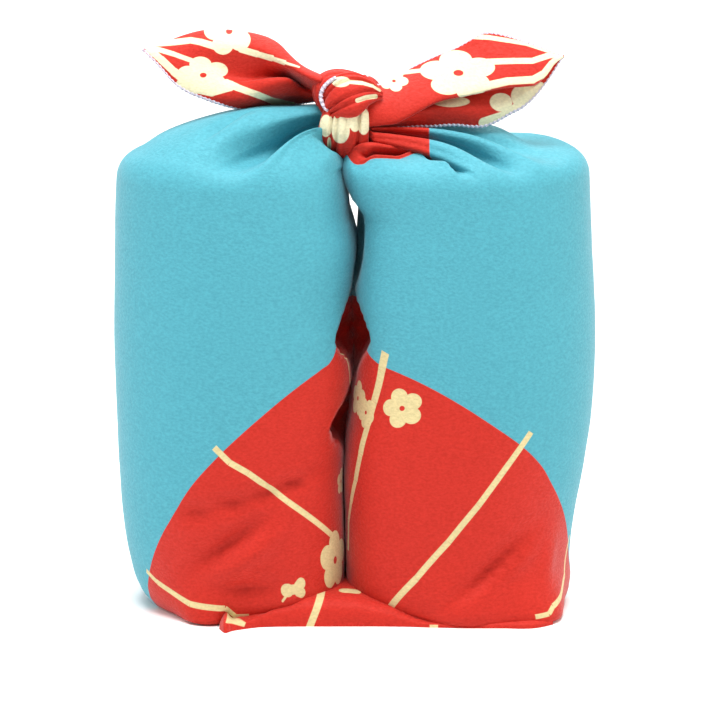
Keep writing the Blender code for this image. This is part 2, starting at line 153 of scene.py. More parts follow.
RIGHT_INNER = table(
    Inner,
    (-91.5, 14, -10, 189, 12, -8, 189, 10, -7, 190, 8, -7, 192, 6, -7, 196),
    (-88, 25.2, -21, 194, 22, -11, 186.5, 23.6, -20.5, 193.3, 23, -18, 193.6, 20, -12, 189),
    (-84, 23.2, -22.8, 194.8, 20.5, -10, 185.2, 22.4, -22, 193.9, 22.3,
     -19.5, 194.5, 20, -13, 189),
    (-79, 20.6, -24, 193.8, 18.5, -9.5, 184.8, 19.8, -22.5, 194.3, 20, -20, 195.2, 18, -13, 189),
    (-72, 17.2, -25, 193, 15.5, -9, 184.6, 16.6, -22.8, 194.9, 16.6, -20.3, 196.1, 15, -13, 189),
    (-65, 12.6, -26, 193.5, 12, -9, 184.8, 12.3, -24.5, 195.6, 12.4, -22, 197.2, 12, -13, 189.5),
    (-57, 7.7, -26.5, 193.7, 8.5, -12, 187, 7.6, -25.5, 196, 7.6, -23.5, 198.5, 8, -16, 192),
    (-50, 4.3, -27.5, 192.5, 5.6, -22, 191.7, 5, -25.8, 195.2, 4.6, -24.5, 198.6, 4.5, -17, 192),
    (-43, 1.5, -26, 192.3, 2.4, -24.5, 194, 2.8, -25, 195.6, 2.2, -24.5, 198, 2, -17, 192),
    (-36, -1.2, -23.5, 193.1, -0.6, -23.3, 194.5, -0.5, -23.3, 195.5,
     -0.8, -23, 196.3, 0, -16, 192),
    (-29, -3.2, -19.3, 194.1, -3, -19.5, 194.7, -2.9, -19.5, 195.1, -3, -19, 195.3, -2, -12, 191),
)
INNER_SHARES = (0.12, 0.3, 0.5, 0.7, 0.87)  # where the five places lie on a plain line
# Inside the knot all the lines of the left lobe, side -1, and of the right one, side 1, end
HEARTS = {-1: (1.0, -7.0, 207.0), 1: (-1.0, -7.0, 207.0)}
HEART_SPREAD = 0.3  # as a ring this share as wide as the gathered one
KNOWN_BEFORE, KNOWN_AFTER = 2, 10  # degrees over which the five places take over from plain ones

# Soft forms pressed into or raised from the cloth. angle and at place the middle (at is the height
# on a side, or the share of the way over a top), and slant leans it: degrees for each unit of at.
Press = namedtuple("Press", "angle at wide long rise slant")
LEFT_TOP = table(
    Press,
    (-172, 0.84, 40, 0.14, -1.5, 0), (170, 0, 45, 0.1, -1.8, 0),
    (-141, 0.38, 5, 0.15, -2.4, -53), (-128, 0.42, 8, 0.16, 1.6, -53),
    (-92, 0.72, 6, 0.2, -6, -10), (118, 0.8, 11, 0.3, 2.6, 0), (88, 0.8, 12, 0.3, -2.4, 0),
    (58, 0.8, 12, 0.25, 2.4, 0),
)
RIGHT_TOP = table(
    Press,
    (145, 0.02, 24, 0.07, 1.2, 0), (158, 0.2, 42, 0.12, -4.2, 0), (-90, 0.1, 7, 0.14, 1.6, 0),
    (-89, 0.62, 5, 0.22, -3.4, 0), (-129, 0.35, 4.5, 0.35, 2.2, 0),
    (-117, 0.38, 5, 0.35, -4, 0), (-106, 0.32, 4, 0.3, 1.8, 0), (150, 0.75, 14, 0.3, -2, 0),
    (112, 0.8, 12, 0.3, 3, 0), (75, 0.8, 13, 0.25, -2.4, 0),
)
LEFT_SIDE = table(
    Press,
    (-93, 34.5, 7, 10, -5, 1.6), (-82, 30, 8, 10, 3.6, 1.4), (-97, 50.5, 9, 4.5, -3.6, 4.2),
    (-61, 59.5, 8, 4.5, -4.2, 4), (-84, 16, 15, 3.2, -3.6, 0), (-97, 3, 2.4, 5, -2.2, 0.3),
)
RIGHT_SIDE = table(
    Press,
    (-107, 24.5, 5.5, 12, -4.8, -1.42), (-118, 27.5, 7, 9, 3, -1.42),
    (-138, 26, 6, 9, 1.8, -0.6),
)

# Folds that stand out at the foot and fade upwards
Foot = namedtuple("Foot", "angle reach width height")
LEFT_FEET = table(Foot, (-112, 9, 16, 22))
RIGHT_FEET = table(Foot, (-130, 15.5, 20, 42), (-92, 8.5, 22, 34))


def soft_step(x):
    """0 below 0, 1 above 1, and an S curve between."""
    x = np.clip(x, 0.0, 1.0)
    return x * x * (3.0 - 2.0 * x)


def through(knots, values, x):
    """A cubic curve through values at knots, read at x. Each knot leans as its neighbours lie."""
    knots, values = np.asarray(knots, float), np.asarray(values, float)
    slopes = np.gradient(values, knots, axis=0)
    x = np.clip(x, knots[0], knots[-1])
    i = np.clip(np.searchsorted(knots, x, side="right") - 1, 0, len(knots) - 2)
    span = knots[i + 1] - knots[i]
    f = (x - knots[i]) / span
    for _ in range(values.ndim - 1):
        f, span = f[..., None], span[..., None]
    return (
        values[i] * (1 + 2 * f) * (1 - f) ** 2
        + values[i + 1] * f * f * (3 - 2 * f)
        + slopes[i] * span * f * (1 - f) ** 2
        + slopes[i + 1] * span * f * f * (f - 1)
    )


def read_rows(rows, at):
    """What the rows say at places of their first column, by the cubic curve through them."""
    given = np.array(rows, float)
    return through(given[:, 0], given[:, 1:], at)


def feet_reach(feet, angle, height):
    """How far the foot folds stand out: a bell across the angle, a square falling with height."""
    reach = np.zeros(np.broadcast(angle, height).shape)
    for foot in feet:
        fade = np.clip(1.0 - height / foot.height, 0.0, 1.0) ** 2
        reach = reach + foot.reach * fade * np.exp(-(((angle - foot.angle) / foot.width) ** 2))
    return reach


def ring_points(angle, height, row, side, feet):
    """Points of an oval ring between outer and inner, depth deep, plus the foot folds' reach. Its
    quarter at the front and the cleft is squarer: the n-th powers of its two shares make 1. There
    the cloth turns away from the cleft, so that it is hollow behind an edge."""
    outer, inner, depth = row
    a = np.radians(angle)
    reach = feet_reach(feet, angle, height)
    toward = np.cos(a) * ((outer - inner) / 2 + reach)
    deep = np.sin(a)
    quarter = (np.cos(a) > 0) & (deep < 0)
    deep = np.where(quarter, -(1 - np.clip(np.cos(a), 0, 1) ** SQUARE) ** (1 / SQUARE), deep)
    wide = read_rows(CLEFT, height)[..., 0 if side < 0 else 1]
    edge = -np.degrees(np.arccos(1 - 2 * wide / (outer - inner)))
    turned = soft_step((angle - edge + HOLLOW_FROM) / HOLLOW_OVER)
    hollow = HOLLOW_SHARE * wide * turned * soft_step((HOLLOW_TO - angle) / HOLLOW_END)
    x = side * ((outer + inner) / 2 - toward + hollow)
    y = deep * (depth + reach)
    return np.stack(np.broadcast_arrays(x, y, height), axis=-1)


def length_of(vectors):
    """The vectors' lengths, kept as a last axis of one."""
    return np.linalg.norm(vectors, axis=-1, keepdims=True)


def lobe_top(angle, t, side, rings, rim, gather, feet):
    """Up the side, round the rim by a quadratic curve, and by a bowed line to the lips."""
    last = rings[-1]
    zero = np.zeros_like(angle)
    start = ring_points(angle, zero + last.height, last[1:], side, feet)
    corner = ring_points(angle, zero + rim.height, rim[1:], side, feet)
    corner[..., 2] -= INNER_RIM_DROP * ((1 + np.cos(np.radians(angle))) / 2) ** 3
    ends = read_rows(gather + (gather[0]._replace(angle=180),), angle)
    end = ends[..., :3]
    bow = np.stack([zero, ends[..., 3], ends[..., 4]], axis=-1)
    up, over = corner - start, end - corner + 4 * bow
    up_length, over_length = length_of(up), length_of(over)
    first = corner - up / up_length * np.minimum(RIM_ROUND, ROUND_UP * up_length)
    after = corner + over / over_length * np.minimum(RIM_ROUND, ROUND_OVER * over_length)
    t = t[..., None]
    f = np.clip((t - RIM_FROM) / (RIM_TO - RIM_FROM), 0, 1)
    low = corner * f + first * (1 - f)
    high = after * f + corner * (1 - f)
    bend = high * f + low * (1 - f)
    g = np.clip((t - RIM_TO) / (1 - RIM_TO), 0, 1)
    points = np.where(t < RIM_FROM, start + (first - start) * t / RIM_FROM, bend)
    return np.where(t > RIM_TO, after + (end - after) * g + bow * 4 * g * (1 - g), points)


def inner_lines(angle, end, inner, heart):
    """From the gathered ring inwards: a curve through each line's five inner places to the heart.
    Where the table gives none, the five places lie straight on the way."""
    placed = read_rows(inner, angle).reshape(len(angle), 5, 3)
    share = np.array(INNER_SHARES)[None, :, None]
    plain = end[:, None] + (heart - end)[:, None] * share
    first, final = inner[0].angle, inner[-1].angle
    known = soft_step((angle - first) / KNOWN_BEFORE + 1)
    known = known * soft_step((final - angle) / KNOWN_AFTER + 1)
    places = plain + (placed - plain) * known[:, None, None]
    last = heart + (end - end.mean(axis=0)) * HEART_SPREAD
    route = np.concatenate([end[:, None], places, last[:, None]], axis=1)
    rows = np.linspace(0, 6, INNER_ROWS + 1)[1:]
    return through(np.arange(7.0), np.moveaxis(route, 1, 0), rows)


def signed(angle):
    """An angle in degrees brought to between -180 and 180."""
    return (angle + 180.0) % 360.0 - 180.0


def pressed(presses, angle, at):
    """The sum of the presses: each is a bell across the angle times a bell along at, and leans."""
    rise = np.zeros(np.broadcast(angle, at).shape)
    for p in presses:
        middle = p.angle + p.slant * (at - p.at)
        turn = signed(angle - middle)
        rise = rise + p.rise * np.exp(-((turn / p.wide) ** 2) - ((at - p.at) / p.long) ** 2)
    return rise


# The roll's free edge runs slantwise up the back of each lobe, over the layer that it covers.
LAP_FOOT, LAP_RIM = 62.0, 118.0  # its angle at the floor and at the rim
LAP_HEIGHT, LAP_TOP = 190.0, 0.1  # the rim's height, and the share of the turn made on the top
LAP_OVER = 14.0  # how far the covered layer runs on beneath it, in degrees
LAP_STEP = 0.9  # how far it stands off
LAP_FADE = 37.0  # the degrees over which it comes down on the cloth again
PRINT_OVER_TOP = 69.0  # the length of print from the last ring to where the cloth is gathered
PLAIN_BEYOND = 60.0  # the print's third value at the ends of a line: far from the red strand
SOLE_SHARES = (0.01, 0.4, 0.75, 0.95)  # rings of the sole, as shares of the foot
SOLE_HEIGHT = 0.3
# Columns are crowded where the front's folds are, and rows at the foot and the cleft's opening:
# where, how many more, and over what width
TURN_CROWDS = ((-195, 1.8, 45), (-210, 3.5, 7))
FOOT_MORE, FOOT_WIDE = 3, 14
OPENING_AT, OPENING_MORE, OPENING_WIDE = 100, 1.6, 32
TOP_FADE = 0.45  # the presses of a top fade towards the rim, over this share of the way
# The red strand lies round an angle on the right lobe's top; its border has a tongue at another
STRAND_AT, STRAND_HALF, STRAND_FROM, STRAND_STEEP = -170.0, 77.0, 0.3, 20
TONGUE_AT, TONGUE_REACH, TONGUE_WIDE = -93.0, 7.0, 2.5


def crowded(places, crowd, count):
    """A count of places along the given ones, closer together where crowd is high."""
    run = np.cumsum(crowd)
    return np.interp(np.linspace(run[0], run[-1], count), run, places)


def extended(values, before):
    """Rows for the sole before the values' own, and for the cloth inside the neck after them."""
    first = np.repeat(values[:1], before, axis=0)
    return np.concatenate([first, values, np.repeat(values[-1:], INNER_ROWS, axis=0)])


def bell(x, middle, width):
    """1 at the middle, falling as the exponent of a square."""
    return np.exp(-(((x - middle) / width) ** 2))


def lobe_grid(side, rings, rim, gather, inner, top, flank, feet):
    """A roll that overlaps itself: rows upwards, columns once round and on beneath the free edge.
    Gives the points and the print's place: the way round, the height, and how far from the red
    strand."""
    turns = np.linspace(-(360.0 + LAP_OVER), 0.0, 3000)
    crowd = 1.0
    for middle, more, width in TURN_CROWDS:
        crowd = crowd + more * bell(turns, middle, width)
    turn = crowded(turns, crowd, LOBE_AROUND)
    height = np.linspace(0.0, rings[-1].height, 2000)
    crowd = 1 + FOOT_MORE * np.exp(-height / FOOT_WIDE)
    crowd = crowd + OPENING_MORE * bell(height, OPENING_AT, OPENING_WIDE)
    heights = crowded(height, crowd, SIDE_ROWS + 1)[:-1]
    t_rows = np.linspace(0, 1, TOP_ROWS)
    climb = np.concatenate([heights / LAP_HEIGHT, 1 - LAP_TOP + t_rows * LAP_TOP])
    edge = LAP_FOOT + (LAP_RIM - LAP_FOOT) * climb
    angle = edge[:, None] + turn[None, :]
    wrapped = signed(angle)
    off = LAP_STEP * (soft_step((turn - turn[0]) / LAP_FADE) - 1.0)[None, :]
    height = np.broadcast_to(heights[:, None], (SIDE_ROWS, LOBE_AROUND))
    rows = np.moveaxis(read_rows(rings, height), -1, 0)
    low = ring_points(wrapped[:SIDE_ROWS], height, rows, side, feet)
    rise = pressed(flank, angle[:SIDE_ROWS], height) + off
    low = low + side * normals_of(low) * rise[..., None]
    low[..., 2] = np.maximum(low[..., 2], 0.0)
    t = np.broadcast_to(t_rows[:, None], (TOP_ROWS, LOBE_AROUND))
    high = lobe_top(wrapped[SIDE_ROWS:], t, side, rings, rim, gather, feet)
    over = np.clip((t - RIM_TO) / (1 - RIM_TO), 0, 1)
    rise = pressed(top, angle[SIDE_ROWS:], over) * soft_step(t / TOP_FADE) + off * (1 - t)
    high = high + side * normals_of(high) * rise[..., None]
    within = inner_lines(wrapped[-1], high[-1], inner, np.array(HEARTS[side]))
    sole = low[:1] * [1, 1, 0] + [0, 0, SOLE_HEIGHT]
    centre = sole.mean(axis=1, keepdims=True)
    sole = centre + (sole - centre) * np.array(SOLE_SHARES)[:, None, None]
    points = np.concatenate([sole, low, high, within])
    beyond = np.linspace(0, 1, INNER_ROWS + 1)[1:, None] * PLAIN_BEYOND
    inside = np.concatenate([
        np.full((len(sole) + SIDE_ROWS, LOBE_AROUND), -1.0),
        np.broadcast_to((t_rows[:, None] - 1.0) * PLAIN_BEYOND, t.shape),
        np.broadcast_to(beyond, (INNER_ROWS, LOBE_AROUND)),
    ])
    angle = extended(angle, len(sole))
    behind = STRAND_HALF - np.abs(signed(angle - STRAND_AT))
    red_from = extended(np.concatenate([height * 0 - 1, over - STRAND_FROM]), len(sole))
    strand = np.minimum(behind, STRAND_STEEP * red_from)
    red_to = RED_TO + TONGUE_REACH * bell(signed(angle), TONGUE_AT, TONGUE_WIDE)
    place = np.stack([
        -side * np.radians(angle + 90.0) * UNROLLED_RADIUS,
        extended(np.concatenate([height, rings[-1].height + t * PRINT_OVER_TOP]), len(sole)),
        np.minimum(np.maximum(inside, strand), red_to - points[..., 0]),
    ], axis=-1)
    return points, place


def unit(vectors):
    """Vectors made one long."""
    return vectors / np.maximum(length_of(vectors), 1e-9)


def normals_of(grid):
    """Unit normals of a grid of points, from the cross product of its two directions."""
    return unit(np.cross(np.gradient(grid, axis=0), np.gradient(grid, axis=1)))


def linked(name, data):
    """A new object of the scene that shows the data."""
    thing = bpy.data.objects.new(name, data)
    bpy.context.scene.collection.objects.link(thing)
    return thing


def mesh_object(name, points, faces):
    """A smooth mesh of points given in millimetres from the lobes' axes, moved into the frame."""
    mesh = bpy.data.meshes.new(name)
    moved = (points.reshape(-1, 3) + np.array([0.0, BODY_SHIFT, 0.0])) * MM
    mesh.from_pydata(moved.tolist(), [], faces.tolist())
    mesh.shade_smooth()
    return linked(name, mesh)


def grid_faces(rows, columns):
    """The faces of a grid of points that are counted row by row."""
    i, j = np.meshgrid(np.arange(rows - 1), np.arange(columns - 1), indexing="ij")
    first = i * columns + j
    return np.stack([first, first + 1, first + columns + 1, first + columns], -1).reshape(-1, 4)


def cloth_mesh(name, points, place, flip=False):
    """An object from a grid of points, with the print's place at each point."""
    faces = grid_faces(*points.shape[:2])
    thing = mesh_object(name, points, faces[:, ::-1] if flip else faces)
    laid = thing.data.attributes.new("place", "FLOAT_VECTOR", "POINT")
    laid.data.foreach_set("vector", place.reshape(-1, 3).astype(np.float32).ravel())
    return thing


left_points, left_place = lobe_grid(
    -1, LEFT_RINGS, LEFT_RIM, LEFT_GATHER, LEFT_INNER, LEFT_TOP, LEFT_SIDE, LEFT_FEET
)
right_points, right_place = lobe_grid(
    1, RIGHT_RINGS, RIGHT_RIM, RIGHT_GATHER, RIGHT_INNER, RIGHT_TOP, RIGHT_SIDE, RIGHT_FEET
)
left_lobe = cloth_mesh("left_lobe", left_points, left_place)
right_lobe = cloth_mesh("right_lobe", right_points, right_place, flip=True)

# The print: turquoise, with a red parasol rolled round each lobe, cream ribs and plum blossom
TURQUOISE = (0.066, 0.325, 0.40, 1.0)
RED = (0.48, 0.014, 0.004, 1.0)
CREAM = (0.62, 0.52, 0.26, 1.0)
CREAM_PAINTED_LIT = (0.76, 0.69, 0.45, 1.0)  # the cream painted paler on the knot and the tails, a painted highlight of the light from above
CREPE_GRAIN, CREPE_HEIGHT = 0.9 * MM, 0.32 * MM
CREPE_STRETCH = (0.62, 0.62, 1.0)  # its pebbles are wider than high
WAVES, WAVE_HEIGHT = 60.0, 1.2 * MM  # slower unevenness: how many to the metre and how high


class Value:
    """One output in a node tree. Arithmetic on it adds the nodes that work it out."""

    def __init__(self, socket):
        self.socket = socket
        self.tree = socket.id_data

    def output(self, name):
        """Another output of the same node, by its name or its place."""
        return Value(self.socket.node.outputs[name])

    def math(self, operation, *others):
        """This value and others through a Math node."""
        return added(self.tree, "Math", (self, *others), operation=operation)

    def __add__(self, other):
        return self.math("ADD", other)

    def __sub__(self, other):
        return self.math("SUBTRACT", other)

    def __rsub__(self, other):
        return added(self.tree, "Math", (other, self), operation="SUBTRACT")

    def __mul__(self, other):
        return self.math("MULTIPLY", other)

    def __truediv__(self, other):
        return self.math("DIVIDE", other)

    def __abs__(self):
        return self.math("ABSOLUTE")


def give(socket, value):
    """Feeds a socket with a value of the tree or with a plain one."""
    if isinstance(value, Value):
        value.tree.links.new(value.socket, socket)
    else:
        socket.default_value = value


def added(tree, kind, given=(), **settings):
    """A new shader node's first output. What is given feeds its sockets in order, or by name."""
    node = tree.nodes.new("ShaderNode" + kind)
    for name, value in settings.items():
        setattr(node, name, value)
    for key, value in given.items() if isinstance(given, dict) else enumerate(given):
        give(node.inputs[key], value)
    return Value(node.outputs[0])


def distance(dx, dy):
    """The root of both squares' sum."""
    return (dx * dx + dy * dy).math("SQRT")


def spread(noise, low, high):
    """A noise's usual range, 0.3 to 0.7, spread from low to high."""
    return added(noise.tree, "MapRange", (noise, 0.3, 0.7, low, high))


def split(vector):
    """A vector's three parts."""
    apart = added(vector.tree, "SeparateXYZ", (vector,))
    return [apart.output(axis) for axis in "XYZ"]


def ink(beyond, soft=0.25):
    """1 where a place lies inside, beyond below 0, and 0 outside, over a soft border."""
    return added(beyond.tree, "MapRange", (beyond, -soft / 2, soft / 2, 1.0, 0.0))


MIX_SHARE, MIX_LOW, MIX_HIGH, MIX_COLOUR = 0, 6, 7, 2  # places of a Mix node's colour sockets


def mix(share, low, high):
    """One colour changing to another."""
    given = {MIX_SHARE: share, MIX_LOW: low, MIX_HIGH: high}
    return added(share.tree, "Mix", given, data_type="RGBA").output(MIX_COLOUR)


def any_of(masks):
    """The highest of several masks."""
    total = masks[0]
    for mask in masks[1:]:
        total = total.math("MAXIMUM", mask)
    return total


# A blossom's forms as shares of its radius: where a petal's middle lies, and how big its round
# petals, the round that joins them and the eye are
PETAL_AT, PETAL_ROUND, HEART_ROUND, EYE_ROUND = 0.58, 0.42, 0.36, 0.13


def blossom(across, up, bloom):
    """A plum blossom: the angle is folded into fifths, and each holds one round petal. Gives the
    petals' mask and the mask of the eye in the middle."""
    fifths = math.radians(72)
    dx, dz = across - bloom.x, (up - bloom.z) / bloom.tall
    angle = (dz.math("ARCTAN2", dx) - bloom.turn) / fifths
    within = (angle - angle.math("ROUND")) * fifths
    reach = distance(dx, dz)
    along, aside = reach * within.math("COSINE"), reach * within.math("SINE")
    petals = ink(distance(along - PETAL_AT * bloom.radius, aside) - PETAL_ROUND * bloom.radius)
    heart = ink(reach - HEART_ROUND * bloom.radius)
    return petals.math("MAXIMUM", heart), ink(reach - EYE_ROUND * bloom.radius)


def flowered(colour, across, up, blooms, cream):
    """Lays blossoms over a colour: the cream petals, then the red eye."""
    for bloom in blooms:
        petals, eye = blossom(across, up, bloom)
        colour = mix(eye, mix(petals, colour, cream), RED)
    return colour


def stroke(across, up, rib, rounded=False):
    """A straight rib: inside its half width, and between its two ends, which may be round."""
    length = math.hypot(rib.to_x - rib.x, rib.to_z - rib.z)
    ux, uz = (rib.to_x - rib.x) / length, (rib.to_z - rib.z) / length
    dx, dz = across - rib.x, up - rib.z
    aside = abs(dx * uz - dz * ux)
    beyond = abs(dx * ux + dz * uz - length / 2) - length / 2
    if rounded:
        return ink(distance(aside, beyond.math("MAXIMUM", 0.0)) - rib.width / 2)
    return ink((aside - rib.width / 2).math("MAXIMUM", beyond))


def crepe_material(name, paint):
    """Polyester crepe, pebbled at about a millimetre and softly shining. paint is its print."""
    material = bpy.data.materials.new(name)
    material.use_nodes = True
    tree = material.node_tree
    tree.nodes.clear()
    where = added(tree, "TexCoord").output("Object")
    squeezed = added(tree, "VectorMath", (where, CREPE_STRETCH), operation="MULTIPLY")
    pebble = added(tree, "TexNoise", {
        "Vector": squeezed, "Scale": 1.0 / CREPE_GRAIN, "Detail": 2.0, "Roughness": 0.6,
    })
    wave = added(tree, "TexNoise", {"Vector": where, "Scale": WAVES, "Detail": 2.0})
    soft = added(tree, "Bump", {
        "Strength": 0.3, "Distance": WAVE_HEIGHT, "Height": wave,
    })
    grain = added(tree, "Bump", {
        "Strength": 0.9, "Distance": CREPE_HEIGHT, "Height": pebble, "Normal": soft,
    })
    colour = paint(added(tree, "Attribute", attribute_name="place").output("Vector"))
    # The colour is scaled by the same noise that raises the pebbles: painted sparkle on their
    # crests and painted shade in their hollows
    pebble_painted_light = added(tree, "VectorMath", {
        "Vector": RED[:3] if colour is RED else colour, "Scale": spread(pebble, 0.88, 1.08),
    }, operation="SCALE")
    shader = added(tree, "BsdfPrincipled", {
        "Base Color": pebble_painted_light, "Roughness": spread(pebble, 0.78, 0.6), "Normal": grain,
        "Specular IOR Level": 0.3, "Sheen Weight": 0.15, "Sheen Roughness": 0.4,
    })
    give(tree.nodes.new("ShaderNodeOutputMaterial").inputs["Surface"], shader)
    return material


# A parasol's border, about a middle out past the cleft: its direction in degrees and its distance
LEFT_PARASOL, RIGHT_PARASOL = (148.0, -39.0), (-149.0, -130.0)
Border = namedtuple("Border", "direction reach")
LEFT_BORDER = table(
    Border,
    (0, 220), (7, 214.5), (13, 208), (16, 203.8), (22.5, 197.2), (26.5, 194.2), (31, 192),
    (36, 189.3), (42.5, 186.8), (49.5, 184.4), (54, 181.6), (56, 180.3), (58.5, 183.4),
    (61.5, 187.8), (65.5, 187.4), (71, 168), (80, 161), (100, 150),
)
RIGHT_BORDER = table(
    Border,
    (15, 262), (25, 264), (37.5, 266.3), (44, 266.2), (48, 267.6), (54, 266.6), (58, 266),
    (61, 265.2), (64, 263.4), (66, 261.6), (67.5, 260.8), (69, 262.4), (71, 268.5), (73.5, 272),
    (77, 257), (85, 255), (105, 250),
)
# Ribs and blossom by their places on the cloth: the distance round from the front and the height
Rib = namedtuple("Rib", "x z to_x to_z width")
Bloom = namedtuple("Bloom", "x z radius tall turn")


def rib_line(*places):
    """A rib's straight stretches: each place has its x, its z and the rib's width from there."""
    return tuple(Rib(*a[:2], *b[:2], a[2]) for a, b in zip(places, places[1:]))


LEFT_RIBS = (
    rib_line((-6.6, 76.4, 2.6), (0.2, 70.1, 2.6), (8.4, 65.6, 2.6), (27, 53, 2.7), (57.5, 33.6))
    + rib_line(
        (-49.6, 18.6, 2.2), (-42.4, 15, 2.5), (-22.7, 8.9, 2.5), (-6.4, 7.5, 2.4),
        (-1.9, 3.6, 2.4), (4.6, 3.6),
    )
    + rib_line((52.6, 117.4, 1), (62, 108.4, 1), (66.5, 97))
)
LEFT_BLOOMS = table(Bloom, (56.7, 24.6, 12.7, 1, 0.314), (66.8, 56.2, 5.6, 1, 0.2))
LEFT_PETALS = (
    rib_line((24, 14.9, 5.8), (24.8, 14.9))
    + rib_line((30.6, 16.4, 5.2), (31.8, 17.6))
    + rib_line((30.4, 14.2, 4.6), (32, 13.6))
    + rib_line((25, 15, 4.4), (30.5, 15.4))
    + rib_line((21.8, 10.4, 1.2), (24.2, 13.2))
)
RIGHT_RIBS = (
    rib_line(
        (-41.4, 115, 4.5), (-44, 107, 4.3), (-47.7, 93.5, 4.1), (-50.4, 84, 3.8),
        (-52.8, 70.6, 3.4), (-55.6, 59, 2.9), (-60, 49, 2.4), (-64, 40, 2), (-65, 27),
    )
    + rib_line((25, 81.6, 2.7), (6, 51.7, 2.7), (-5.2, 36.4, 2.8), (-19, 20.5, 3), (-35, 5.6))
    + rib_line(
        (68, 30, 1.8), (58, 15, 2), (45.5, 9.6, 2.2), (37, 7.3, 2), (34, 4.8, 2), (28.5, 4.2),
    )
)
RIGHT_BLOOMS = table(
    Bloom,
    (-31.4, 92.3, 10.2, 0.83, 0.66), (-61.7, 92.6, 7.2, 1.05, 0.3), (-53, 88.2, 6.4, 1, 0.9),
)


def outside(dx, dz, rows):
    """How far a place lies outside a border, by its distances from the border's middle: the
    border's reach is a curve of the direction."""
    first, last = rows[0].direction, rows[-1].direction
    low, high = min(r.reach for r in rows), max(r.reach for r in rows)
    span, rise = last - first, high - low
    turn = dz.math("ARCTAN2", dx) * (math.degrees(1) / span) - first / span
    border = added(dx.tree, "FloatCurve", (1.0, turn))
    curve = border.socket.node.mapping
    points = curve.curves[0].points
    places = [((r.direction - first) / span, (r.reach - low) / rise) for r in rows]
    points[0].location, points[-1].location = places[0], places[-1]
    for place in places[1:-1]:
        points.new(*place)
    curve.update()
    return distance(dx, dz) - (border * rise + low)


def strokes(across, up, ribs, rounded=False):
    """A mask for each of the ribs."""
    return [stroke(across, up, rib, rounded) for rib in ribs]


def left_print(place):
    """Red within its border, over turquoise, then the ribs and the blossoms."""
    across, up, _ = split(place)
    field = ink(outside(LEFT_PARASOL[0] - across, up - LEFT_PARASOL[1], LEFT_BORDER))
    ribs = strokes(across, up, LEFT_RIBS) + strokes(across, up, LEFT_PETALS, True)
    colour = mix(any_of(ribs), mix(field, TURQUOISE, RED), CREAM)
    return flowered(colour, across, up, LEFT_BLOOMS, CREAM)


def right_print(place):
    """The same on the right, and red on the gathered strand as well."""
    across, up, beyond = split(place)
    field = ink(outside(across - RIGHT_PARASOL[0], up - RIGHT_PARASOL[1], RIGHT_BORDER))
    field = field.math("MAXIMUM", ink(0.0 - beyond, 0.4))
    ribs = strokes(across, up, RIGHT_RIBS)
    colour = mix(any_of(ribs), mix(field, TURQUOISE, RED), CREAM)
    return flowered(colour, across, up, RIGHT_BLOOMS, CREAM)


left_lobe.data.materials.append(crepe_material("crepe_left_print", left_print))
right_lobe.data.materials.append(crepe_material("crepe_right_print", right_print))

# --- The fold beneath --------------------------------------------------------------------------
# The cloth between the two goods is flattened under and between the lobes' feet, and comes out at
# the front as one long low fold that ends in a point.

Under = namedtuple("Under", "x front back thick")
UNDER_FOLD = table(
    Under,
    (-55.6, 50, 20, 1.5), (-53.6, 56, 24, 5.4), (-50, 53, 28, 5), (-45, 50, 34, 4.2),
    (-40, 47.6, 38, 7), (-34, 46.6, 43, 11.5), (-26, 46.2, 47, 13), (-16, 46, 48, 13.5),
    (-8, 46, 48, 13), (0, 46, 48, 12.5), (7, 46, 48, 11), (15, 46.2, 48, 9),
    (22, 46.6, 48, 5.6), (30, 47.6, 47, 2.8), (40, 48.4, 45, 2.6), (60, 49, 42, 3.2),
    (76, 48, 36, 3.4), (82, 43, 26, 2.4),
)
UNDER_PRESSES = table(Press, (40, -32, 17, 7, -4.5, 0), (60, -50, 20, 2.2, -1.6, 0))
ARCH_SIDES, ARCH_TOP = 0.35, 0.45  # powers of the arch's cosine and sine: below 1 it is squarer
OFF_FLOOR = 0.05


def under_grid(rows, presses, along=110, around=40):
    """A low arch carried along x: each section rises quickly at both edges and is flat on top."""
    x = np.interp(
        np.linspace(0, len(rows) - 1, along), np.arange(len(rows)), [row.x for row in rows]
    )
    front, back, thick = read_rows(rows, x).T
    a = np.linspace(0, math.pi, around)
    wide = -np.sign(np.cos(a)) * np.abs(np.cos(a)) ** ARCH_SIDES
    high = np.sin(a) ** ARCH_TOP
    half, middle = (front + back) / 2, (back - front) / 2
    points = np.stack([
        np.broadcast_to(x[:, None], (along, around)),
        middle[:, None] + half[:, None] * wide[None, :],
        OFF_FLOOR + thick[:, None] * high[None, :],
    ], axis=-1)
    place = points.copy()
    points += normals_of(points) * pressed(presses, np.degrees(a)[None, :], x[:, None])[..., None]
    points[..., 2] = np.maximum(points[..., 2], OFF_FLOOR)
    return points, place


UNDER_LEAN = 0.38  # the ribs across the fold lean by this much of its height
UNDER_RIB = Rib(-18.4, 60.0, -18.4, -60.0, 3.2)
UNDER_ENDS = (Rib(31.0, 0.4, 34.4, 0.4, 1.6), Rib(-52.5, 5.0, -45.0, 1.8, 1.8))
UNDER_PETAL = Rib(-4.0, -34.0, 0.2, -34.0, 5.0)


def under_print(place):
    """Plain red with a leaning cream rib, the ends of two others and a petal in the cleft."""
    across, along, up = split(place)
    marks = [
        stroke(across - up * UNDER_LEAN, along, UNDER_RIB),
        stroke(across, along, UNDER_PETAL, True),
    ]
    return mix(any_of(marks + strokes(across, up, UNDER_ENDS)), RED, CREAM)


def joined(name, things):
    """Several mesh objects made one, with their materials kept."""
    bpy.ops.object.select_all(action="DESELECT")
    for thing in things:
        thing.select_set(True)
    bpy.context.view_layer.objects.active = things[0]
    bpy.ops.object.join()
    things[0].name = things[0].data.name = name
    return things[0]


under_points, under_place = under_grid(UNDER_FOLD, UNDER_PRESSES)
under_fold = cloth_mesh("under_fold", under_points, under_place)
under_fold.data.materials.append(crepe_material("crepe_under_print", under_print))

